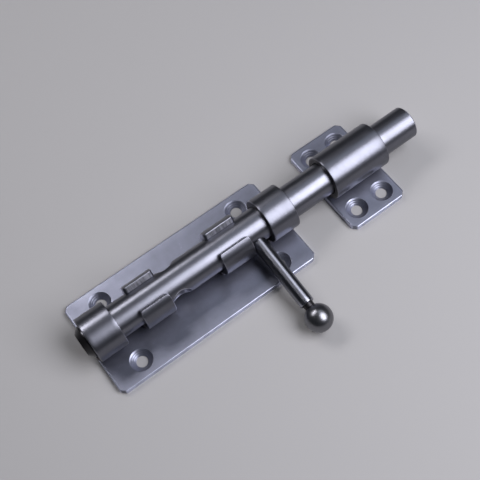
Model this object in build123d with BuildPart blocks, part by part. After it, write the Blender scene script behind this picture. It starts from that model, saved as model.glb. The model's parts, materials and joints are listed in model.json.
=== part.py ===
from build123d import *
import math
import os

# Sliding tube bolt: a base plate with two collars and two open-topped guides, a round bolt
# turned and slid by a ball-ended handle, and a separate keeper plate with a long socket tube.
# Millimetres. The origin is the centre of the base plate's mounting face. +X runs along the
# bolt towards the keeper, +Z points away from the surface that the plates are screwed to.

# ---- driving dimensions ----
plate_length = 106.0
plate_width = 50.0
plate_thickness = 2.6
corner_chamfer = 2.2
plate_edge_radius = 0.35

tube_radius = 11.0
bolt_radius = 7.9
running_clearance = 0.05
keeper_clearance = 0.4
rim_chamfer = 0.35

collar_length = 14.0
rear_collar_start = -52.3
front_collar_start = 40.3
rear_guide_start = -28.0
rear_guide_length = 14.8
front_guide_start = 14.0
front_guide_length = 15.8
rear_guide_half_opening = 38.0
front_guide_half_opening = 33.5
guide_corner_radius = 1.4

bolt_start = -55.5
bolt_length = 181.5
bolt_tip_chamfer = 0.7
bolt_tail_chamfer = 2.6
lock_hole_x = -8.1
lock_hole_radius = 4.9
lock_hole_tilt = 15.0
lock_hole_chamfer = 0.6

keeper_start = 74.8
keeper_length = 30.6
keeper_tube_setback = 1.4
keeper_tube_length = 30.0

screw_hole_radius = 2.7
countersink_radius = 5.2
countersink_angle = 96.0
countersink_lip_radius = 0.5
base_hole_spacing_x = 75.7
keeper_hole_spacing_x = 14.7
hole_spacing_y = 34.0

handle_x = 33.7
handle_droop = 7.0
stem_radius = 3.5
stem_seat_depth = 5.4
stem_shoulder_distance = 42.8
stem_end_chamfer = 0.5
neck_radius = 2.45
knob_distance = 50.6
knob_radius = 6.5
knob_flat_radius = 3.1
knob_bore_depth = 8.0

weld_inner_y = 2.0
weld_tube_y = 5.7
weld_plate_y = 6.4
weld_bulge = 0.25
weld_overrun = 0.8

# ---- worked out from the driving dimensions ----
bolt_axis_z = plate_thickness + tube_radius
bore_radius = bolt_radius + running_clearance
keeper_bore_radius = bolt_radius + keeper_clearance
keeper_centre_x = keeper_start + keeper_length / 2
keeper_tube_start = keeper_start + keeper_tube_setback

droop = math.radians(handle_droop)
handle_direction = (0, -math.cos(droop), -math.sin(droop))
handle_plane = Plane(origin=(handle_x, 0, bolt_axis_z), x_dir=(1, 0, 0), z_dir=handle_direction)
stem_seat = bolt_radius - stem_seat_depth
tilt = math.radians(lock_hole_tilt)
lock_hole_direction = (0, math.cos(tilt), math.sin(tilt))
lock_hole_plane = Plane(origin=(lock_hole_x, 0, bolt_axis_z), x_dir=(1, 0, 0), z_dir=lock_hole_direction)

os.makedirs("parts", exist_ok=True)


# ---- base plate: flat bar with chamfered corners and four countersunk screw holes ----
with BuildPart() as base_plate:
    with BuildSketch(Plane.XY) as base_outline:
        Rectangle(plate_length, plate_width)
        chamfer(base_outline.vertices(), length=corner_chamfer)
    extrude(amount=plate_thickness)
    fillet(base_plate.faces().sort_by(Axis.Z)[-1].edges(), radius=plate_edge_radius)
    with Locations((0, 0, plate_thickness)):
        with GridLocations(base_hole_spacing_x, hole_spacing_y, 2, 2):
            CounterSinkHole(
                radius=screw_hole_radius,
                counter_sink_radius=countersink_radius,
                counter_sink_angle=countersink_angle,
            )
    fillet(
        base_plate.faces().sort_by(Axis.Z)[-1].inner_wires().edges(),
        radius=countersink_lip_radius,
    )


# ---- closed collars: short tubes that carry the bolt at each end of the base plate ----
with BuildPart() as rear_collar:
    with BuildSketch(Plane.YZ.offset(rear_collar_start)):
        with Locations((0, bolt_axis_z)):
            Circle(tube_radius)
            Circle(bore_radius, mode=Mode.SUBTRACT)
    extrude(amount=collar_length)
    chamfer(rear_collar.edges().filter_by(GeomType.CIRCLE).group_by(SortBy.RADIUS)[-1], length=rim_chamfer)

with BuildPart() as front_collar:
    with BuildSketch(Plane.YZ.offset(front_collar_start)):
        with Locations((0, bolt_axis_z)):
            Circle(tube_radius)
            Circle(bore_radius, mode=Mode.SUBTRACT)
    extrude(amount=collar_length)
    chamfer(front_collar.edges().filter_by(GeomType.CIRCLE).group_by(SortBy.RADIUS)[-1], length=rim_chamfer)


# ---- guides: the same tube with its top sawn open, so that the handle can pass along it ----
def opening_corners(half_angle):
    """The wedge above the bolt's axis that is sawn out of a guide, in the tube's own section."""
    reach = 2 * tube_radius
    side = reach * math.sin(math.radians(half_angle))
    up = reach * math.cos(math.radians(half_angle))
    return [(0, 0), (side, up), (-side, up)]


with BuildPart() as rear_guide:
    with BuildSketch(Plane.YZ.offset(rear_guide_start)):
        with Locations((0, bolt_axis_z)):
            Circle(tube_radius)
            Circle(bore_radius, mode=Mode.SUBTRACT)
            Polygon(*opening_corners(rear_guide_half_opening), align=None, mode=Mode.SUBTRACT)
    extrude(amount=rear_guide_length)
    wall = tube_radius - bore_radius
    fillet(
        rear_guide.edges().filter_by(GeomType.LINE).filter_by(lambda e: abs(e.length - wall) < 0.01),
        radius=guide_corner_radius,
    )
    outer_skin = rear_guide.faces().filter_by(GeomType.CYLINDER).sort_by(SortBy.AREA)[-1]
    chamfer(outer_skin.edges(), length=rim_chamfer)

with BuildPart() as front_guide:
    with BuildSketch(Plane.YZ.offset(front_guide_start)):
        with Locations((0, bolt_axis_z)):
            Circle(tube_radius)
            Circle(bore_radius, mode=Mode.SUBTRACT)
            Polygon(*opening_corners(front_guide_half_opening), align=None, mode=Mode.SUBTRACT)
    extrude(amount=front_guide_length)
    fillet(
        front_guide.edges().filter_by(GeomType.LINE).filter_by(lambda e: abs(e.length - wall) < 0.01),
        radius=guide_corner_radius,
    )
    outer_skin = front_guide.faces().filter_by(GeomType.CYLINDER).sort_by(SortBy.AREA)[-1]
    chamfer(outer_skin.edges(), length=rim_chamfer)


# ---- weld beads: two along the foot of every tube, one on each side ----
def tube_underside(y):
    """Height of the tube's lower surface at a distance y from the bolt's centre plane."""
    return bolt_axis_z - math.sqrt(tube_radius**2 - y**2)


weld_middle_y = (weld_inner_y + weld_tube_y) / 2
weld_face_y = (weld_tube_y + weld_plate_y) / 2 + weld_bulge
weld_face_z = (plate_thickness + tube_underside(weld_tube_y)) / 2
base_weld_runs = [
    (rear_collar_start, collar_length),
    (rear_guide_start, rear_guide_length),
    (front_guide_start, front_guide_length),
    (front_collar_start, collar_length),
]

with BuildPart() as base_welds:
    for start, length in base_weld_runs:
        for side in (1, -1):
            with BuildSketch(Plane.YZ.offset(start - weld_overrun)):
                with BuildLine():
                    foot_in = (side * weld_inner_y, plate_thickness)
                    foot_out = (side * weld_plate_y, plate_thickness)
                    toe = (side * weld_tube_y, tube_underside(weld_tube_y))
                    root = (side * weld_inner_y, tube_underside(weld_inner_y))
                    Line(foot_in, foot_out)
                    ThreePointArc(foot_out, (side * weld_face_y, weld_face_z), toe)
                    ThreePointArc(toe, (side * weld_middle_y, tube_underside(weld_middle_y)), root)
                    Line(root, foot_in)
                make_face()
            extrude(amount=length + 2 * weld_overrun)

with BuildPart() as keeper_welds:
    for side in (1, -1):
        with BuildSketch(Plane.YZ.offset(keeper_tube_start + weld_overrun)):
            with BuildLine():
                foot_in = (side * weld_inner_y, plate_thickness)
                foot_out = (side * weld_plate_y, plate_thickness)
                toe = (side * weld_tube_y, tube_underside(weld_tube_y))
                root = (side * weld_inner_y, tube_underside(weld_inner_y))
                Line(foot_in, foot_out)
                ThreePointArc(foot_out, (side * weld_face_y, weld_face_z), toe)
                ThreePointArc(toe, (side * weld_middle_y, tube_underside(weld_middle_y)), root)
                Line(root, foot_in)
            make_face()
        extrude(amount=keeper_length - keeper_tube_setback - 2 * weld_overrun)


# ---- bolt: round bar with chamfered ends, a cross hole for a padlock or locking pin between
# the two guides, and a blind radial seat for the handle ----
with BuildPart() as bolt_rod:
    with BuildSketch(Plane.YZ.offset(bolt_start)):
        with Locations((0, bolt_axis_z)):
            Circle(bolt_radius)
    extrude(amount=bolt_length)
    chamfer(bolt_rod.faces().sort_by(Axis.X)[-1].edges(), length=bolt_tip_chamfer)
    chamfer(bolt_rod.faces().sort_by(Axis.X)[0].edges(), length=bolt_tail_chamfer)
    edges_before_hole = bolt_rod.edges()
    with BuildSketch(lock_hole_plane):
        Circle(lock_hole_radius)
    extrude(amount=2 * bolt_radius, both=True, mode=Mode.SUBTRACT)
    hole_mouths = (bolt_rod.edges() - edges_before_hole).filter_by(
        lambda e: e.geom_type != GeomType.LINE and e.length < 4 * math.pi * lock_hole_radius
    )
    chamfer(hole_mouths, length=lock_hole_chamfer)
    with BuildSketch(handle_plane.offset(stem_seat)):
        Circle(stem_radius + running_clearance)
    extrude(amount=stem_seat_depth + 1, mode=Mode.SUBTRACT)


# ---- handle: a stem screwed into the bolt, with a thinner neck that carries the ball ----
with BuildPart() as handle_stem:
    with BuildSketch(handle_plane.offset(stem_seat)):
        Circle(stem_radius)
    extrude(amount=stem_shoulder_distance - stem_seat)
    chamfer(
        handle_stem.faces().sort_by(Axis(handle_plane.origin, handle_direction))[-1].edges(),
        length=stem_end_chamfer,
    )
    with BuildSketch(handle_plane.offset(stem_shoulder_distance)):
        Circle(neck_radius)
    extrude(amount=knob_distance - knob_radius + knob_bore_depth - stem_shoulder_distance - 0.5)

with BuildPart() as ball_knob:
    with BuildSketch(handle_plane.offset(knob_distance)):
        with BuildLine():
            Line((0, -knob_radius), (0, knob_radius))
            ThreePointArc((0, knob_radius), (knob_radius, 0), (0, -knob_radius))
        make_face()
    revolve(axis=Axis(handle_plane.offset(knob_distance).origin, handle_plane.y_dir), revolution_arc=360)
    with BuildSketch(handle_plane):
        Circle(2 * knob_radius)
    extrude(
        amount=knob_distance - math.sqrt(knob_radius**2 - knob_flat_radius**2),
        mode=Mode.SUBTRACT,
    )
    with BuildSketch(handle_plane.offset(knob_distance - knob_radius)):
        Circle(neck_radius + running_clearance)
    extrude(amount=knob_bore_depth, mode=Mode.SUBTRACT)


# ---- keeper: a second plate with four screw holes, and the long tube that the bolt enters ----
with BuildPart() as keeper_plate:
    with BuildSketch(Plane.XY) as keeper_outline:
        with Locations((keeper_centre_x, 0)):
            Rectangle(keeper_length, plate_width)
        chamfer(keeper_outline.vertices(), length=corner_chamfer)
    extrude(amount=plate_thickness)
    fillet(keeper_plate.faces().sort_by(Axis.Z)[-1].edges(), radius=plate_edge_radius)
    with Locations((keeper_centre_x, 0, plate_thickness)):
        with GridLocations(keeper_hole_spacing_x, hole_spacing_y, 2, 2):
            CounterSinkHole(
                radius=screw_hole_radius,
                counter_sink_radius=countersink_radius,
                counter_sink_angle=countersink_angle,
            )
    fillet(
        keeper_plate.faces().sort_by(Axis.Z)[-1].inner_wires().edges(),
        radius=countersink_lip_radius,
    )

with BuildPart() as keeper_tube:
    with BuildSketch(Plane.YZ.offset(keeper_tube_start)):
        with Locations((0, bolt_axis_z)):
            Circle(tube_radius)
            Circle(keeper_bore_radius, mode=Mode.SUBTRACT)
    extrude(amount=keeper_tube_length)
    chamfer(keeper_tube.edges().filter_by(GeomType.CIRCLE).group_by(SortBy.RADIUS)[-1], length=rim_chamfer)


# ---- one STEP file for each piece ----
pieces = {
    "base_plate": base_plate,
    "rear_collar": rear_collar,
    "front_collar": front_collar,
    "rear_guide": rear_guide,
    "front_guide": front_guide,
    "base_welds": base_welds,
    "bolt_rod": bolt_rod,
    "handle_stem": handle_stem,
    "ball_knob": ball_knob,
    "keeper_plate": keeper_plate,
    "keeper_tube": keeper_tube,
    "keeper_welds": keeper_welds,
}
for name, piece in pieces.items():
    piece.part.label = name
    export_step(piece.part, f"parts/{name}.step")
    print(name, len(piece.part.solids()), "solid(s)", round(piece.part.volume, 1), "mm3")
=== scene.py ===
import json
import math

import bmesh
import bpy
from mathutils import Matrix, Vector, noise


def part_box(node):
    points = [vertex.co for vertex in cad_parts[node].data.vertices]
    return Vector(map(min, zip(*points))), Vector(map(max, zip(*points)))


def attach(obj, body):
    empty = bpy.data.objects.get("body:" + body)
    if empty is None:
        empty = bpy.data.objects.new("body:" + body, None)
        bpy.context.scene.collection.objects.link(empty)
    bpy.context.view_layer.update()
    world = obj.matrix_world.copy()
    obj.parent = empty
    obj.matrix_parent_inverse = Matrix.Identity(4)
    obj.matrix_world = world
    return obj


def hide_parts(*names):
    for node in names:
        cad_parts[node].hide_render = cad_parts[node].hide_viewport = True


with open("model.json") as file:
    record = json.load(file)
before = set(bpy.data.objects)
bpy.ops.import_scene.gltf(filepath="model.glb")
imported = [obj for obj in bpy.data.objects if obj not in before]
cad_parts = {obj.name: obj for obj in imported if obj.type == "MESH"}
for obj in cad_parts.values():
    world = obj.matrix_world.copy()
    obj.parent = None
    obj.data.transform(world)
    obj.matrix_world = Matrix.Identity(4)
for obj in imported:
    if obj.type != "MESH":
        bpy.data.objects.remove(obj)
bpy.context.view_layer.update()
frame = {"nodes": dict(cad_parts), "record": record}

# ---------------------------------------------------------------------------------------------
# Places and sizes, in millimetres. What is made from them is scaled to metres as it is made.
# ---------------------------------------------------------------------------------------------
MM = 0.001


def span(node, axis):
    """Lowest and highest coordinate of a CAD node along one axis, in millimetres."""
    low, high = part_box(node)
    return low[axis] / MM, high[axis] / MM


def middle(node, axis):
    low, high = span(node, axis)
    return (low + high) / 2


def size(node, axis):
    low, high = span(node, axis)
    return high - low


ALONG_BOLT = Vector((1, 0, 0))
PLATE_TOP = span("base_plate", 2)[1]
TUBE_RADIUS = size("rear_collar", 1) / 2
BAR_RADIUS = size("bolt_rod", 1) / 2
AXIS_Z = PLATE_TOP + TUBE_RADIUS
COLLAR_BORE = BAR_RADIUS + 0.05
KEEPER_BORE = BAR_RADIUS + 0.4

# The tubes' ends and the guides' cut edges are broken by hand with a file, to these radii. The
# straight wall's points stop WALL_GAP short of them, so that the edge's smooth shading doesn't
# spread over the wall.
RIM_ROUND = 0.35
BORE_ROUND = 0.2
WALL_GAP = 0.06

# How much brighter those edges are painted, from 0 to 1, at their rims and in their bores: partly scuffed
# bare steel, partly a painted highlight.
TUBE_RIM_WEAR_SHEEN, TUBE_BORE_WEAR_SHEEN = 0.4, 0.5
GUIDE_RIM_WEAR_SHEEN, GUIDE_BORE_WEAR_SHEEN = 1.0, 0.6

# The guides: how far each side of the top their tube is sawn open, in degrees, the radius of
# their ears' corners, and the depth from the cut over which they are painted brighter, partly as
# scuffed steel and partly as a painted highlight.
REAR_OPENING = 38.0
FRONT_OPENING = 33.5
GUIDE_CORNER = 1.4
GUIDE_CUT_WEAR_SHEEN = 0.3

# The handle, from the ball's box: its direction runs from the bolt's axis to the ball. The stem's
# seat and shoulder and the ball's middle are given as distances along it.
KNOB_RADIUS = size("ball_knob", 0) / 2
KNOB_CENTRE = Vector((
    middle("ball_knob", 0),
    span("ball_knob", 1)[0] + KNOB_RADIUS,
    span("ball_knob", 2)[0] + KNOB_RADIUS,
))
HANDLE_ROOT = Vector((KNOB_CENTRE.x, 0.0, AXIS_Z))
HANDLE_WAY = (KNOB_CENTRE - HANDLE_ROOT).normalized()
KNOB_DISTANCE = (KNOB_CENTRE - HANDLE_ROOT).length
STEM_RADIUS = size("handle_stem", 0) / 2
STEM_SEAT = 2.5
STEM_SHOULDER = 42.8
NECK_RADIUS = 2.45
KNOB_FLAT_RADIUS = 3.1

# The cross hole through the bolt, and the screw holes, two by two on each plate, with the radius
# of the mouth of their countersinks.
MOUNTS = {mount["name"]: mount for mount in frame["record"]["mounts"]}
LOCK_HOLE = MOUNTS["lock_hole"]
COUNTERSINK_RADIUS = 5.2

# How far the base's weld beads run past their tubes at each end. The keeper's stop as far short.
WELD_OVERRUN = 0.8


# ---------------------------------------------------------------------------------------------
# Camera, floor and lights. The lights' places and sizes are in metres.
# ---------------------------------------------------------------------------------------------
def look_frame(azimuth, elevation, roll):
    """A camera's rotation, and the direction from what it looks at back to it. Azimuth 0 looks
    along +Y, and roll turns the camera about that direction. All three are in degrees."""
    a, e = math.radians(azimuth), math.radians(elevation)
    back = Vector((math.sin(a) * math.cos(e), -math.cos(a) * math.cos(e), math.sin(e)))
    right = Vector((0, 0, 1)).cross(back).normalized()
    up = back.cross(right)
    turn = math.radians(roll)
    rolled_right = right * math.cos(turn) + up * math.sin(turn)
    rolled_up = up * math.cos(turn) - right * math.sin(turn)
    return Matrix((rolled_right, rolled_up, back)).transposed(), back


def make_camera():
    target = Vector((29.0, 0.9, 8.0)) * MM
    distance = 415.5
    rotation, back = look_frame(azimuth=-28.54, elevation=63.48, roll=-8.68)
    data = bpy.data.cameras.new("camera")
    data.sensor_width = 36.0
    data.lens = 68.86
    data.clip_start = 0.01
    data.clip_end = 20.0
    camera = bpy.data.objects.new("camera", data)
    camera.matrix_world = Matrix.Translation(target + back * distance * MM) @ rotation.to_4x4()
    bpy.context.scene.collection.objects.link(camera)
    bpy.context.scene.camera = camera


def area_light(name, shape, lean, height, distance, panel, power, colour):
    """A soft box, turned to face the object. lean is how far its direction leans along
    the bolt, from -1 to 1, and height its angle above the horizon round the bolt, in degrees from
    +Y over the top towards -Y. The width of its panel lies along the bolt, as far as its
    direction lets it."""
    lit_point = Vector((0.034, -0.02, 0.01))
    upright = math.sqrt(1 - lean**2)
    rise = math.radians(height)
    back = Vector((lean, upright * math.cos(rise), upright * math.sin(rise)))
    data = bpy.data.lights.new(name, "AREA")
    data.shape = shape
    data.size, data.size_y = panel
    data.energy = power
    data.color = colour
    across = (ALONG_BOLT - back * back.x).normalized()
    rotation = Matrix((across, back.cross(across), back)).transposed()
    light = bpy.data.objects.new(name, data)
    light.matrix_world = Matrix.Translation(lit_point + back * distance) @ rotation.to_4x4()
    bpy.context.scene.collection.objects.link(light)


def make_light():
    world = bpy.data.worlds.new("studio")
    world.use_nodes = True
    background = world.node_tree.nodes["Background"]
    background.inputs["Color"].default_value = (0.78, 0.86, 1.0, 1.0)
    background.inputs["Strength"].default_value = 0.05
    bpy.context.scene.world = world
    area_light("key_box", "ELLIPSE", lean=0.39, height=121.0, distance=0.64, panel=(0.46, 0.66),
               power=6.0, colour=(0.90, 0.91, 1.0))
    area_light("rear_strip", "RECTANGLE", lean=-0.22, height=51.0, distance=0.8, panel=(0.46, 0.20),
               power=2.9, colour=(0.96, 0.95, 1.0))
    area_light("ceiling_box", "RECTANGLE", lean=0.42, height=76.0, distance=1.2, panel=(0.7, 0.5),
               power=1.1, colour=(0.80, 0.87, 1.0))
    bpy.context.scene.view_settings.view_transform = "Standard"
    bpy.context.scene.view_settings.exposure = 0.0


def make_floor():
    """A plain floor, a hair below the plates' backs, so that the two don't share a plane."""
    bpy.ops.mesh.primitive_plane_add(size=4.0, location=(0.03, 0.0, -0.05 * MM))
    floor = bpy.context.object
    floor.name = "floor"
    material = bpy.data.materials.new("floor_paint")
    material.use_nodes = True
    shader = material.node_tree.nodes["Principled BSDF"]
    shader.inputs["Base Color"].default_value = (0.345, 0.335, 0.325, 1.0)
    shader.inputs["Roughness"].default_value = 0.9
    floor.data.materials.append(material)


# ---------------------------------------------------------------------------------------------
# Materials
# ---------------------------------------------------------------------------------------------
# The Mix node has its own sockets for each kind of value. These are the numbers of the colours'.
MIX_FACTOR, MIX_LOW, MIX_HIGH, MIX_RESULT = 0, 6, 7, 2


class Nodes:
    """A metal's node tree, with short names for what is added to it. Its lengths are in metres, as
    the mesh is, and a noise's scale is about how many of its grains there are in a metre."""

    def __init__(self, name, colour, roughness):
        self.material = bpy.data.materials.new(name)
        self.material.use_nodes = True
        self.tree = self.material.node_tree
        self.shader = self.tree.nodes["Principled BSDF"]
        self.shader.inputs["Metallic"].default_value = 1.0
        self.shader.inputs["Roughness"].default_value = roughness
        self.shader.inputs["Base Color"].default_value = (*colour, 1.0)
        self.place = self.tree.nodes.new("ShaderNodeTexCoord").outputs["Object"]

    def link(self, output, socket):
        self.tree.links.new(output, socket)

    def stretch(self, scale, turn=(0.0, 0.0, 0.0)):
        """The place, turned by some degrees and scaled by a different amount on each axis."""
        node = self.tree.nodes.new("ShaderNodeMapping")
        node.inputs["Rotation"].default_value = [math.radians(angle) for angle in turn]
        node.inputs["Scale"].default_value = scale
        self.link(self.place, node.inputs["Vector"])
        return node.outputs["Vector"]

    def noise(self, scale, place=None, detail=3.0, rough=0.5):
        node = self.tree.nodes.new("ShaderNodeTexNoise")
        node.inputs["Scale"].default_value = scale
        node.inputs["Detail"].default_value = detail
        node.inputs["Roughness"].default_value = rough
        self.link(place or self.place, node.inputs["Vector"])
        return node.outputs["Fac"]

    def axes(self):
        node = self.tree.nodes.new("ShaderNodeSeparateXYZ")
        self.link(self.place, node.inputs["Vector"])
        return node.outputs["X"], node.outputs["Y"], node.outputs["Z"]

    def math(self, operation, *values):
        node = self.tree.nodes.new("ShaderNodeMath")
        node.operation = operation
        for value, socket in zip(values, node.inputs):
            if isinstance(value, (int, float)):
                socket.default_value = value
            else:
                self.link(value, socket)
        return node.outputs["Value"]

    def distance(self, a, b):
        """The length of a step, from its two parts at right angles."""
        squares = [self.math("POWER", part, 2.0) for part in (a, b)]
        return self.math("SQRT", self.math("ADD", *squares))

    def ramp(self, value, from_low, from_high, low, high):
        """value mapped from one range to another, and clamped."""
        node = self.tree.nodes.new("ShaderNodeMapRange")
        node.inputs["From Min"].default_value = from_low
        node.inputs["From Max"].default_value = from_high
        node.inputs["To Min"].default_value = low
        node.inputs["To Max"].default_value = high
        self.link(value, node.inputs["Value"])
        return node.outputs["Result"]

    def attribute(self, name):
        node = self.tree.nodes.new("ShaderNodeAttribute")
        node.attribute_name = name
        return node.outputs["Fac"]

    def blend(self, value, low_colour, high_colour):
        """From one colour to the other. Either is three numbers or the output of another blend."""
        node = self.tree.nodes.new("ShaderNodeMix")
        node.data_type = "RGBA"
        self.link(value, node.inputs[MIX_FACTOR])
        for colour, socket in ((low_colour, node.inputs[MIX_LOW]), (high_colour, node.inputs[MIX_HIGH])):
            if isinstance(colour, tuple):
                socket.default_value = (*colour, 1.0)
            else:
                self.link(colour, socket)
        return node.outputs[MIX_RESULT]

    def bump(self, height, distance, strength=1.0, under=None):
        """The normal of a relief, distance deep, on top of the relief that is under it."""
        node = self.tree.nodes.new("ShaderNodeBump")
        node.inputs["Strength"].default_value = strength
        node.inputs["Distance"].default_value = distance
        self.link(height, node.inputs["Height"])
        if under is not None:
            self.link(under, node.inputs["Normal"])
        return node.outputs["Normal"]


def tone(colour, amount):
    return tuple(c * amount for c in colour)


def scratches(n, turn, width):
    """A mask of long thin hairlines that wander along one direction."""
    field = n.noise(1.0, place=n.stretch((22.0, 260.0, 260.0), turn), detail=1.0)
    return n.ramp(n.math("ABSOLUTE", n.math("SUBTRACT", field, 0.5)), 0.0, width, 1.0, 0.0)


def steel(name, colour, roughness, grain, grain_depth, edge=None, turned=None, spread=0.0,
          cloud=0.08, cloud_rough=0.03, scored=0.0, wear_sheen_gain=1.8, tooth_depth=0.0012):
    """Satin steel. grain is how fine its polishing lines are along X, Y and Z. edge makes the mask
    of the places painted brighter, partly scuffed bare steel and partly a painted highlight on the
    edges, or else it is read from the mesh. turned is the axis that it was polished round, which
    spreads its reflections along that axis. cloud and cloud_rough are how much its smudges change
    its colour and roughness, scored how much its hairlines show, wear_sheen_gain how many times
    brighter those painted places are, and tooth_depth the depth of its finest grain. The depths are
    in millimetres. The nodes it returns hold its paint and its normal, for a steel with something
    more on it."""
    n = Nodes(name, colour, roughness)
    if turned:
        tangent = n.tree.nodes.new("ShaderNodeTangent")
        tangent.direction_type = "RADIAL"
        tangent.axis = turned
        n.link(tangent.outputs["Tangent"], n.shader.inputs["Tangent"])
        n.shader.inputs["Anisotropic"].default_value = spread
        n.shader.inputs["Anisotropic Rotation"].default_value = 0.25
    # From the broadest to the finest: smudges, patches, polishing lines and tooth.
    smudge = n.noise(48.0, detail=5.0, rough=0.6)
    patch = n.noise(210.0, detail=3.0)
    lines = n.noise(1.0, place=n.stretch(grain), detail=2.0, rough=0.6)
    tooth = n.noise(5200.0, detail=1.0)

    hair = n.math("MAXIMUM", scratches(n, (0.0, 0.0, 24.0), 0.0022), scratches(n, (0.0, 0.0, -63.0), 0.0016))
    hair = n.math("MULTIPLY", hair, n.ramp(patch, 0.52, 0.62, 0.0, scored))
    mask = edge(n) if edge else n.attribute("edge")
    # The places painted brighter: scuffed bare steel on the edges, and a painted highlight along them.
    wear_and_sheen = n.math("MULTIPLY", mask, n.ramp(patch, 0.34, 0.56, 0.7, 1.0))

    clouds = n.math("MULTIPLY_ADD", patch, 0.35, n.math("MULTIPLY", smudge, 0.65))
    clouds = n.ramp(clouds, 0.36, 0.64, 0.0, 1.0)
    paint = n.blend(clouds, tone(colour, 1 - cloud), tone(colour, 1 + cloud))
    n.paint = n.blend(n.math("MAXIMUM", wear_and_sheen, hair), paint, tone(colour, wear_sheen_gain))
    n.link(n.paint, n.shader.inputs["Base Color"])

    dull = n.ramp(smudge, 0.34, 0.66, roughness + cloud_rough, roughness - cloud_rough / 2)
    dull = n.math("ADD", dull, n.ramp(lines, 0.3, 0.7, -0.025, 0.025))
    dull = n.math("SUBTRACT", dull, n.math("MULTIPLY", wear_and_sheen, 0.05))
    n.link(dull, n.shader.inputs["Roughness"])

    normal = n.bump(lines, grain_depth * MM, 0.6)
    normal = n.bump(tooth, tooth_depth * MM, 0.25, under=normal)
    n.normal = n.bump(hair, 0.003 * MM, 0.4, under=normal)
    n.link(n.normal, n.shader.inputs["Normal"])
    return n


def from_middle(n, node):
    """How far the place is from the middle of a plate, along X and along Y."""
    x, y, _ = n.axes()
    return n.math("ABSOLUTE", n.math("SUBTRACT", x, middle(node, 0) * MM)), n.math("ABSOLUTE", y)


def to_outline(n, node):
    """How far inside the outline of a plate the place is."""
    from_x, from_y = from_middle(n, node)
    to_end = n.math("SUBTRACT", size(node, 0) / 2 * MM, from_x)
    to_side = n.math("SUBTRACT", size(node, 1) / 2 * MM, from_y)
    return n.math("MINIMUM", to_end, to_side)


def plate_edge_sheen(node):
    """A mask of a plate's outline painted brighter, partly scuffed steel and partly a painted highlight: its
    sides, and the last half millimetre inside them.
    """
    return lambda n: n.ramp(to_outline(n, node), 0.05 * MM, 0.55 * MM, 1.0, 0.0)


def plate_steel(node, screws):
    """The flat bar of a plate: its top edge is rounded off and painted lighter towards the outline,
    partly polished by handling and partly a painted highlight, and its countersinks show the
    cutter's rings and are painted lighter, a painted highlight."""
    colour = (0.200, 0.206, 0.250)
    n = steel(node + "_steel", colour, 0.41, grain=(420.0, 2600.0, 2600.0), grain_depth=0.0008,
              edge=plate_edge_sheen(node), cloud=0.11, cloud_rough=0.05, scored=0.10, wear_sheen_gain=4.2)

    # The cutter's rings, by how far the place is from the nearest hole's middle.
    holes = MOUNTS[screws]["dims"]
    from_x, from_y = from_middle(n, node)
    reach = n.distance(n.math("SUBTRACT", from_x, holes["spacing_x_mm"] / 2 * MM),
                       n.math("SUBTRACT", from_y, holes["spacing_y_mm"] / 2 * MM))
    inside = n.ramp(reach, COUNTERSINK_RADIUS * MM, (COUNTERSINK_RADIUS + 0.3) * MM, 1.0, 0.0)
    ring_pitch, ring_depth = 0.75, 0.03
    rings = n.math("SINE", n.math("MULTIPLY", reach, 2 * math.pi / (ring_pitch * MM)))
    normal = n.bump(n.math("MULTIPLY", rings, inside), ring_depth * MM, 0.8, under=n.normal)

    # The rounded top edge, and the lighter paint that fades away from it: partly polish from handling,
    # partly a painted highlight.
    inset = to_outline(n, node)
    edge_depth = 0.16
    to_rim = n.ramp(inset, 0.15 * MM, 0.75 * MM, 1.0, 0.0)
    fall = n.math("SUBTRACT", 1.0, n.math("POWER", to_rim, 2.0))
    n.link(n.bump(fall, edge_depth * MM, under=normal), n.shader.inputs["Normal"])
    edge_sheen = n.ramp(inset, 0.5 * MM, 4.0 * MM, 0.25, 0.0)
    paint = n.blend(edge_sheen, n.paint, tone(colour, 1.6))
    # The countersinks are painted lighter, a painted highlight.
    n.link(n.blend(inside, paint, tone(colour, 1.45)), n.shader.inputs["Base Color"])
    return n.material


def bar_glints(n):
    """A mask of painted highlights on the bolt: a glint on its tip's chamfer and on the rim of the
    cross hole."""
    x, y, z = n.axes()
    end = span("bolt_rod", 0)[1]
    tip = n.ramp(x, (end - 0.75) * MM, (end - 0.65) * MM, 0.0, 0.5)
    hole = LOCK_HOLE["pos_m"]
    way = LOCK_HOLE["axis"]
    radius = LOCK_HOLE["dims"]["r_mm"]
    rise = n.math("SUBTRACT", z, hole[2])
    across = n.math("MULTIPLY_ADD", rise, way[1], n.math("MULTIPLY", y, -way[2]))
    reach = n.distance(across, n.math("SUBTRACT", x, hole[0]))
    past_mouth = n.ramp(reach, (radius - 0.1) * MM, (radius + 0.05) * MM, 0.0, 1.0)
    within_rim = n.ramp(reach, (radius + 0.5) * MM, (radius + 0.8) * MM, 1.0, 0.0)
    return n.math("MAXIMUM", tip, n.math("MULTIPLY", past_mouth, within_rim))


def bar_steel():
    """The bolt's bar, polished along its length, with the tail that sticks out behind the plate painted near
    black, a painted shade.
    """
    n = steel("bar_steel", (0.178, 0.180, 0.204), 0.33, grain=(160.0, 2400.0, 2400.0),
              grain_depth=0.0006, edge=bar_glints, turned="X", spread=0.3, wear_sheen_gain=4.0)
    x, _, _ = n.axes()
    start = span("bolt_rod", 0)[0]
    # The tail is painted near black: painted shade, where the bar catches no light.
    painted_shade_tail = n.ramp(x, (start + 2.8) * MM, (start + 3.3) * MM, 1.0, 0.0)
    n.link(n.blend(painted_shade_tail, n.paint, (0.035, 0.034, 0.036)), n.shader.inputs["Base Color"])
    return n.material


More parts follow.
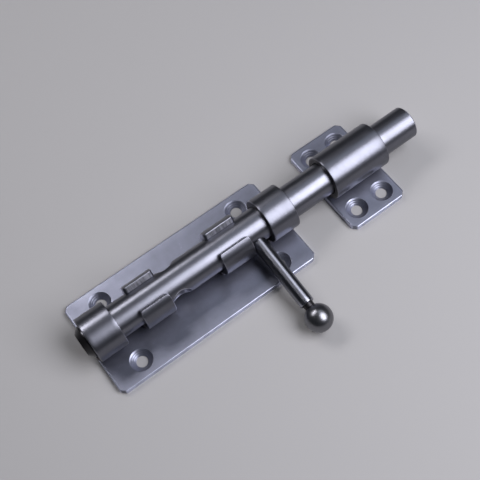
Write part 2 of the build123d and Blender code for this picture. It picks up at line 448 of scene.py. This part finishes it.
def sawn_steel():
    """Bare steel of a sawn face: lines across it, one every few tenths of a millimetre."""
    colour = (0.24, 0.24, 0.26)
    lines = (3400.0, 300.0, 300.0)
    n = Nodes("sawn_steel", colour, 0.50)
    fine = n.noise(1.0, place=n.stretch(lines), detail=3.0, rough=0.7)
    broad = n.noise(1.0, place=n.stretch([scale * 0.35 for scale in lines]), detail=1.0)
    shade = n.math("MULTIPLY_ADD", broad, 0.65, n.math("MULTIPLY", fine, 0.35))
    streak = n.blend(n.ramp(shade, 0.40, 0.60, 0.0, 1.0), tone(colour, 0.62), tone(colour, 1.25))
    n.link(streak, n.shader.inputs["Base Color"])
    n.link(n.ramp(fine, 0.3, 0.7, 0.44, 0.56), n.shader.inputs["Roughness"])
    n.link(n.bump(fine, 0.02 * MM, 0.6), n.shader.inputs["Normal"])
    return n.material


def weld_steel():
    """Weld metal, scaled and faintly blued by the heat."""
    n = Nodes("weld_metal", (0.17, 0.165, 0.175), 0.38)
    scale = n.noise(900.0, detail=4.0, rough=0.7)
    heat = n.noise(260.0, detail=2.0)
    tint = n.blend(n.ramp(heat, 0.4, 0.65, 0.0, 1.0), (0.15, 0.15, 0.20), (0.22, 0.185, 0.145))
    scaled = n.blend(n.ramp(scale, 0.55, 0.7, 0.0, 0.8), tint, (0.07, 0.065, 0.065))
    n.link(scaled, n.shader.inputs["Base Color"])
    n.link(n.ramp(scale, 0.3, 0.7, 0.28, 0.52), n.shader.inputs["Roughness"])
    n.link(n.bump(scale, 0.03 * MM, 0.7), n.shader.inputs["Normal"])
    return n.material


def dress(node, material):
    """Gives a CAD node one material."""
    data = frame["nodes"][node].data
    data.materials.clear()
    data.materials.append(material)


# ---------------------------------------------------------------------------------------------
# Mesh building
# ---------------------------------------------------------------------------------------------
def make_piece(name, bm, materials, body, node, crease=32.0):
    """Turns a bmesh in millimetres into a piece that stands for a CAD node. Its edges that bend by
    more than crease, in degrees, are shaded sharp."""
    bmesh.ops.recalc_face_normals(bm, faces=bm.faces)
    bmesh.ops.scale(bm, vec=(MM, MM, MM), verts=bm.verts)
    mesh = bpy.data.meshes.new(name)
    bm.to_mesh(mesh)
    bm.free()
    for material in materials:
        mesh.materials.append(material)
    for face in mesh.polygons:
        face.use_smooth = True
    mesh.set_sharp_from_angle(angle=math.radians(crease))
    piece = bpy.data.objects.new(name, mesh)
    bpy.context.scene.collection.objects.link(piece)
    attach(piece, body)
    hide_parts(node)


def evenly(start, end, steps):
    """Numbers from start to end, both among them, in that many equal steps."""
    return [start + (end - start) * i / steps for i in range(steps + 1)]


def arc(along, radius, bend, start, end, steps, wear_sheen):
    """Points of an arc in a section, round a centre at a distance along and a radius. bend is the
    arc's own radius, start and end are angles in degrees, and wear_sheen is the scuffing and
    painted highlight all over it."""
    points = []
    for angle in evenly(start, end, steps):
        turn = math.radians(angle)
        points.append((along + bend * math.cos(turn), radius + bend * math.sin(turn), wear_sheen))
    return points


def corner(along, radius, bend, start, steps, wear_sheen):
    """A rounded corner of a section: a quarter of a circle, clockwise from an angle."""
    return arc(along, radius, bend, start, start - 90, steps, wear_sheen)


def skin(bm, rings, closed_run=False):
    """Faces between neighbouring rings of vertices. A ring of one vertex is a pole, and a closed
    run goes on from its last ring to its first."""
    pairs = list(zip(rings, rings[1:]))
    if closed_run:
        pairs.append((rings[-1], rings[0]))
    for a, b in pairs:
        count = max(len(a), len(b))
        for i in range(count):
            j = (i + 1) % count
            corners = [a[i % len(a)], a[j % len(a)], b[j % len(b)], b[i % len(b)]]
            corners = list(dict.fromkeys(corners))
            if len(corners) > 2:
                bm.faces.new(corners)


def lathe(section, root, way, segments, ripple, closed=False):
    """Turns a section about an axis. Each of its points is (distance along, radius, scuffing and
    painted highlight), and the scuffed points stand back from the true line by an uneven amount, as
    a filed rim does."""
    bm = bmesh.new()
    wear_sheen = bm.verts.layers.float.new("edge")
    turn = way.to_track_quat("Z", "X").to_matrix()
    rings = []
    for along, radius, edge in section:
        ring = []
        for i in range(segments if radius > 0 else 1):
            angle = 2 * math.pi * i / segments
            sway = noise.noise(Vector((3 * math.cos(angle), 3 * math.sin(angle), along * 0.37)))
            r = max(radius - edge * ripple * (0.5 + 0.5 * sway), 0.0)
            local = Vector((r * math.cos(angle), r * math.sin(angle), along))
            vertex = bm.verts.new(root + turn @ local)
            vertex[wear_sheen] = edge
            ring.append(vertex)
        rings.append(ring)
    skin(bm, rings, closed_run=closed)
    return bm


def tube_section(start, end, outer, bore):
    """The wall of a tube: its rims filed round outside, and just broken in the bore."""
    wall = (outer + bore) / 2
    gap = RIM_ROUND + WALL_GAP
    section = [(s, outer, 0.0) for s in evenly(start + gap, end - gap, 10)]
    section += corner(end - RIM_ROUND, outer - RIM_ROUND, RIM_ROUND, 90, 5, TUBE_RIM_WEAR_SHEEN)
    section += [(end, wall, 0.0)]
    section += corner(end - BORE_ROUND, bore + BORE_ROUND, BORE_ROUND, 0, 3, TUBE_BORE_WEAR_SHEEN)
    section += [(start + (end - start) * share, bore, 0.0) for share in (0.8, 0.5, 0.2)]
    section += corner(start + BORE_ROUND, bore + BORE_ROUND, BORE_ROUND, -90, 3, TUBE_BORE_WEAR_SHEEN)
    section += [(start, wall, 0.0)]
    section += corner(start + RIM_ROUND, outer - RIM_ROUND, RIM_ROUND, 180, 5, TUBE_RIM_WEAR_SHEEN)
    return section


def make_tube(name, node, body, bore, materials):
    """A filed tube. The second material is for its sawn ends and its bore, painted dark, a painted shade."""
    start, end = span(node, 0)
    section = tube_section(start, end, TUBE_RADIUS, bore)
    bm = lathe(section, Vector((0, 0, AXIS_Z)), ALONG_BOLT, segments=160, ripple=0.05, closed=True)
    for face in bm.faces:
        centre = face.calc_center_median()
        if math.hypot(centre.y, centre.z - AXIS_Z) < TUBE_RADIUS - RIM_ROUND:
            face.material_index = 1
    make_piece(name, bm, materials, body, node)


def stand_back(depth, radius):
    """How far a rounded edge stands back from its corner, at a depth inside the corner."""
    if depth >= radius:
        return 0.0
    return radius - math.sqrt(radius**2 - (radius - depth) ** 2)


def round_depths(radius, step):
    """Depths inside a corner of that radius at which its curve turns by even steps, in degrees."""
    return {radius * (1 - math.cos(math.radians(angle))) for angle in range(0, 91, step)}


def guide_section(left, right, outer, inner):
    """The wall of a guide along one line from end to end, with its edges filed, scuffed and painted with a
    highlight.
    """
    outer_gap, bore_gap = RIM_ROUND + WALL_GAP, BORE_ROUND + WALL_GAP
    section = [(x, outer, 0.0) for x in evenly(left + outer_gap, right - outer_gap, 8)]
    section += corner(right - RIM_ROUND, outer - RIM_ROUND, RIM_ROUND, 90, 4, GUIDE_RIM_WEAR_SHEEN)
    section += corner(right - BORE_ROUND, inner + BORE_ROUND, BORE_ROUND, 0, 3, GUIDE_BORE_WEAR_SHEEN)
    section += [(x, inner, 0.0) for x in evenly(right - bore_gap, left + bore_gap, 2)]
    section += corner(left + BORE_ROUND, inner + BORE_ROUND, BORE_ROUND, -90, 3, GUIDE_BORE_WEAR_SHEEN)
    section += corner(left + RIM_ROUND, outer - RIM_ROUND, RIM_ROUND, 180, 4, GUIDE_RIM_WEAR_SHEEN)
    return section


def make_guide(name, node, opening, materials):
    """A length of tube sawn open at the top, with rounded corners on its two ears. It is made of
    sections from one cut, round below the bolt, to the other. The second material is for the cuts."""
    start, end = span(node, 0)
    mean_radius = (TUBE_RADIUS + COLLAR_BORE) / 2
    half_run = math.radians(180 - opening) * mean_radius
    depths = round_depths(GUIDE_CORNER, 10) | round_depths(RIM_ROUND, 18) | {RIM_ROUND + WALL_GAP}
    plain = half_run - GUIDE_CORNER
    runs = [-half_run + depth for depth in sorted(depths)]
    runs += evenly(-plain, plain, 44)[1:-1]
    runs += [half_run - depth for depth in sorted(depths, reverse=True)]

    bm = bmesh.new()
    wear_sheen = bm.verts.layers.float.new("edge")
    rings = []
    for run in runs:
        depth = half_run - abs(run)
        inset = stand_back(depth, GUIDE_CORNER)
        outer = TUBE_RADIUS - stand_back(depth, RIM_ROUND)
        inner = COLLAR_BORE + stand_back(depth, BORE_ROUND)
        # Near the cuts the edges are painted brighter: scuffed steel and a painted highlight.
        near_cut = max(0.0, 1 - depth / GUIDE_CUT_WEAR_SHEEN)
        angle = math.pi + run / mean_radius
        ring = []
        for x, r, edge in guide_section(start + inset, end - inset, outer, inner):
            vertex = bm.verts.new((x, r * math.sin(angle), AXIS_Z + r * math.cos(angle)))
            vertex[wear_sheen] = max(edge, near_cut)
            ring.append(vertex)
        rings.append(ring)
    skin(bm, rings)
    for ring in (rings[0], rings[-1]):
        bm.faces.new(ring).material_index = 1
    make_piece(name, bm, materials, "base", node)


def tube_underside(y):
    """The height of a tube's outer face below the bolt, at a distance from the bolt's middle plane."""
    return AXIS_Z - math.sqrt(TUBE_RADIUS**2 - y**2)


def weld_bead(bm, start, end, side, seed, plate_end):
    """One fillet bead along the foot of a tube: a rounded nose at each end, and the crescent
    ripples of the moving pool across its face. It sinks a little into the plate it is on, and
    stays above it where the collar overhangs the plate's end."""
    # Distances from the bolt's middle plane: the bead's hidden side, its toe on the tube and its
    # foot on the plate.
    inner, toe, foot = 2.0, 5.7, 6.4
    # The bulge of its face, the length of its nose, and the pitch and height of its ripples.
    bulge, nose, pitch, ripple = 0.25, 1.4, 1.05, 0.085
    row_spacing, sunk, clear = 0.17, 0.12, -0.05
    rings = []
    for x in evenly(start, end, int((end - start) / row_spacing)):
        fullness = 1 - 0.30 * stand_back(min(x - start, end - x), nose) / nose
        sink = sunk if x < plate_end else clear
        sway = 0.12 * noise.noise(Vector((x * 0.45, seed, 0.0)))
        drift = 0.3 * noise.noise(Vector((x * 0.3, seed, 5.0)))
        ring = []
        for t in evenly(0.0, 1.0, 9):
            y = foot + (toe - foot) * t
            z = PLATE_TOP + (tube_underside(toe) - PLATE_TOP) * t
            belly = 4 * t * (1 - t)
            phase = (x + 0.55 * belly * pitch) / pitch + drift
            wave = abs(math.sin(math.pi * phase)) ** 0.7
            out = (bulge + sway) * belly + ripple * (wave - 0.6) * min(1.0, 2.5 * belly + 0.2)
            y = (y + out * 0.93 - inner) * fullness + inner
            z = PLATE_TOP - sink + (z - PLATE_TOP + sink + out * 0.3) * (0.55 + 0.45 * fullness)
            ring.append(bm.verts.new((x, side * y, z)))
        for y in (4.6, 3.4, inner):
            y = (y - inner) * fullness + inner
            z = min(tube_underside(y) + sink, AXIS_Z - COLLAR_BORE - 0.3)
            ring.append(bm.verts.new((x, side * y, z)))
        ring.append(bm.verts.new((x, side * inner, PLATE_TOP - sink)))
        rings.append(ring)
    skin(bm, rings)
    for ring in (rings[0], rings[-1]):
        bm.faces.new(ring)


def make_welds(name, node, body, plate, tubes, overrun, material):
    """The two beads of each tube on a plate."""
    bm = bmesh.new()
    plate_end = span(plate, 0)[1]
    for index, tube_node in enumerate(tubes):
        start, end = span(tube_node, 0)
        for side in (1, -1):
            weld_bead(bm, start - overrun, end + overrun, side, 7.3 * index + side, plate_end)
    make_piece(name, bm, [material], body, node, crease=50.0)


def make_stem(materials):
    """The handle's stem: turned bar, with a shoulder and a thinner neck that enters the ball. The
    second material is for the neck, painted near black as a painted shade."""
    seat_bevel, shoulder_round, neck_round, neck_in_ball = 0.3, 0.5, 0.25, 6.0
    # How much brighter the shoulder is painted: scuffed steel and a painted highlight.
    shoulder_wear_sheen = 0.9
    bar_start, bar_end = STEM_SEAT + seat_bevel, STEM_SHOULDER - shoulder_round
    neck_end = KNOB_DISTANCE - KNOB_RADIUS + neck_in_ball
    section = [(STEM_SEAT, 0.0, 0.0), (STEM_SEAT, STEM_RADIUS - seat_bevel, 0.0)]
    section += [(s, STEM_RADIUS, 0.0) for s in evenly(bar_start, bar_end, 16)[:-1]]
    section += corner(bar_end, STEM_RADIUS - shoulder_round, shoulder_round, 90, 6, shoulder_wear_sheen)
    section += arc(STEM_SHOULDER + neck_round, NECK_RADIUS + neck_round, neck_round, 180, 270, 4, 0.0)
    section += [(neck_end, NECK_RADIUS, 0.0), (neck_end, 0.0, 0.0)]
    bm = lathe(section, HANDLE_ROOT, HANDLE_WAY, segments=72, ripple=0.03)
    for face in bm.faces:
        if (face.calc_center_median() - HANDLE_ROOT).dot(HANDLE_WAY) > STEM_SHOULDER + 0.02:
            face.material_index = 1
    make_piece("handle_stem_turned", bm, materials, "bolt", "handle_stem")


def make_knob(material):
    """The ball: a small flat with a broken edge where the stem goes in, and a blind bore."""
    bore = NECK_RADIUS + 0.05
    bore_depth, bore_bevel, flat_bevel = 6.5, 0.15, 0.12
    # How much brighter the bevel and the ball's lip are painted: scuffed steel and a painted highlight.
    bevel_wear_sheen, lip_wear_sheen = 0.6, 0.8
    flat = KNOB_DISTANCE - math.sqrt(KNOB_RADIUS**2 - KNOB_FLAT_RADIUS**2)
    section = [(flat + bore_depth, 0.0, 0.0), (flat + bore_depth, bore, 0.0)]
    section += [(flat + bore_bevel, bore, 0.0), (flat, bore + bore_bevel, bevel_wear_sheen)]
    section += [(flat, KNOB_FLAT_RADIUS - flat_bevel, bevel_wear_sheen)]
    past_flat = math.degrees(math.asin(KNOB_FLAT_RADIUS / KNOB_RADIUS)) + 1.2
    round_face = arc(KNOB_DISTANCE, 0.0, KNOB_RADIUS, 180 - past_flat, 0, 56, 0.0)
    section += [(s, r, lip_wear_sheen) for s, r, _ in round_face[:2]] + round_face[2:-1]
    section += [(KNOB_DISTANCE + KNOB_RADIUS, 0.0, 0.0)]
    bm = lathe(section, HANDLE_ROOT, HANDLE_WAY, segments=112, ripple=0.02)
    make_piece("ball_knob_turned", bm, [material], "bolt", "ball_knob")


# ---------------------------------------------------------------------------------------------
# The scene
# ---------------------------------------------------------------------------------------------
make_camera()
make_light()
make_floor()

tube = steel("tube_steel", (0.158, 0.160, 0.182), 0.34, grain=(2600.0, 330.0, 330.0),
             grain_depth=0.0006, turned="X", spread=0.3).material
stem = steel("stem_steel", (0.195, 0.197, 0.219), 0.31, grain=(300.0, 2400.0, 300.0),
             grain_depth=0.0001, turned="Y", spread=0.85, cloud_rough=0.01, tooth_depth=0.0002).material
knob = steel("knob_steel", (0.185, 0.185, 0.196), 0.30, grain=(900.0, 900.0, 900.0),
             grain_depth=0.0006, cloud_rough=0.02).material
# The handle's neck is painted near black: painted shade.
neck = steel("neck_painted_shade", (0.045, 0.043, 0.045), 0.42, grain=(1900.0, 5200.0, 1900.0),
             grain_depth=0.004, cloud=0.2).material
# The tubes' ends and bores are painted dark: painted shade.
bore = steel("end_and_bore_shade", (0.070, 0.069, 0.074), 0.45, grain=(300.0, 1500.0, 1500.0),
             grain_depth=0.004, cloud=0.2, cloud_rough=0.06).material
sawn = sawn_steel()
weld = weld_steel()

dress("base_plate", plate_steel("base_plate", "base_screws"))
dress("keeper_plate", plate_steel("keeper_plate", "keeper_screws"))
dress("bolt_rod", bar_steel())

make_tube("rear_collar_filed", "rear_collar", "base", COLLAR_BORE, [tube, bore])
make_tube("front_collar_filed", "front_collar", "base", COLLAR_BORE, [tube, bore])
make_tube("keeper_tube_filed", "keeper_tube", "keeper", KEEPER_BORE, [tube, bore])
make_guide("rear_guide_sawn", "rear_guide", REAR_OPENING, [tube, sawn])
make_guide("front_guide_sawn", "front_guide", FRONT_OPENING, [tube, sawn])
make_welds("base_weld_beads", "base_welds", "base", "base_plate",
           ["rear_collar", "rear_guide", "front_guide", "front_collar"], WELD_OVERRUN, weld)
make_welds("keeper_weld_beads", "keeper_welds", "keeper", "keeper_plate", ["keeper_tube"],
           -WELD_OVERRUN, weld)
make_stem([stem, neck])
make_knob(knob)
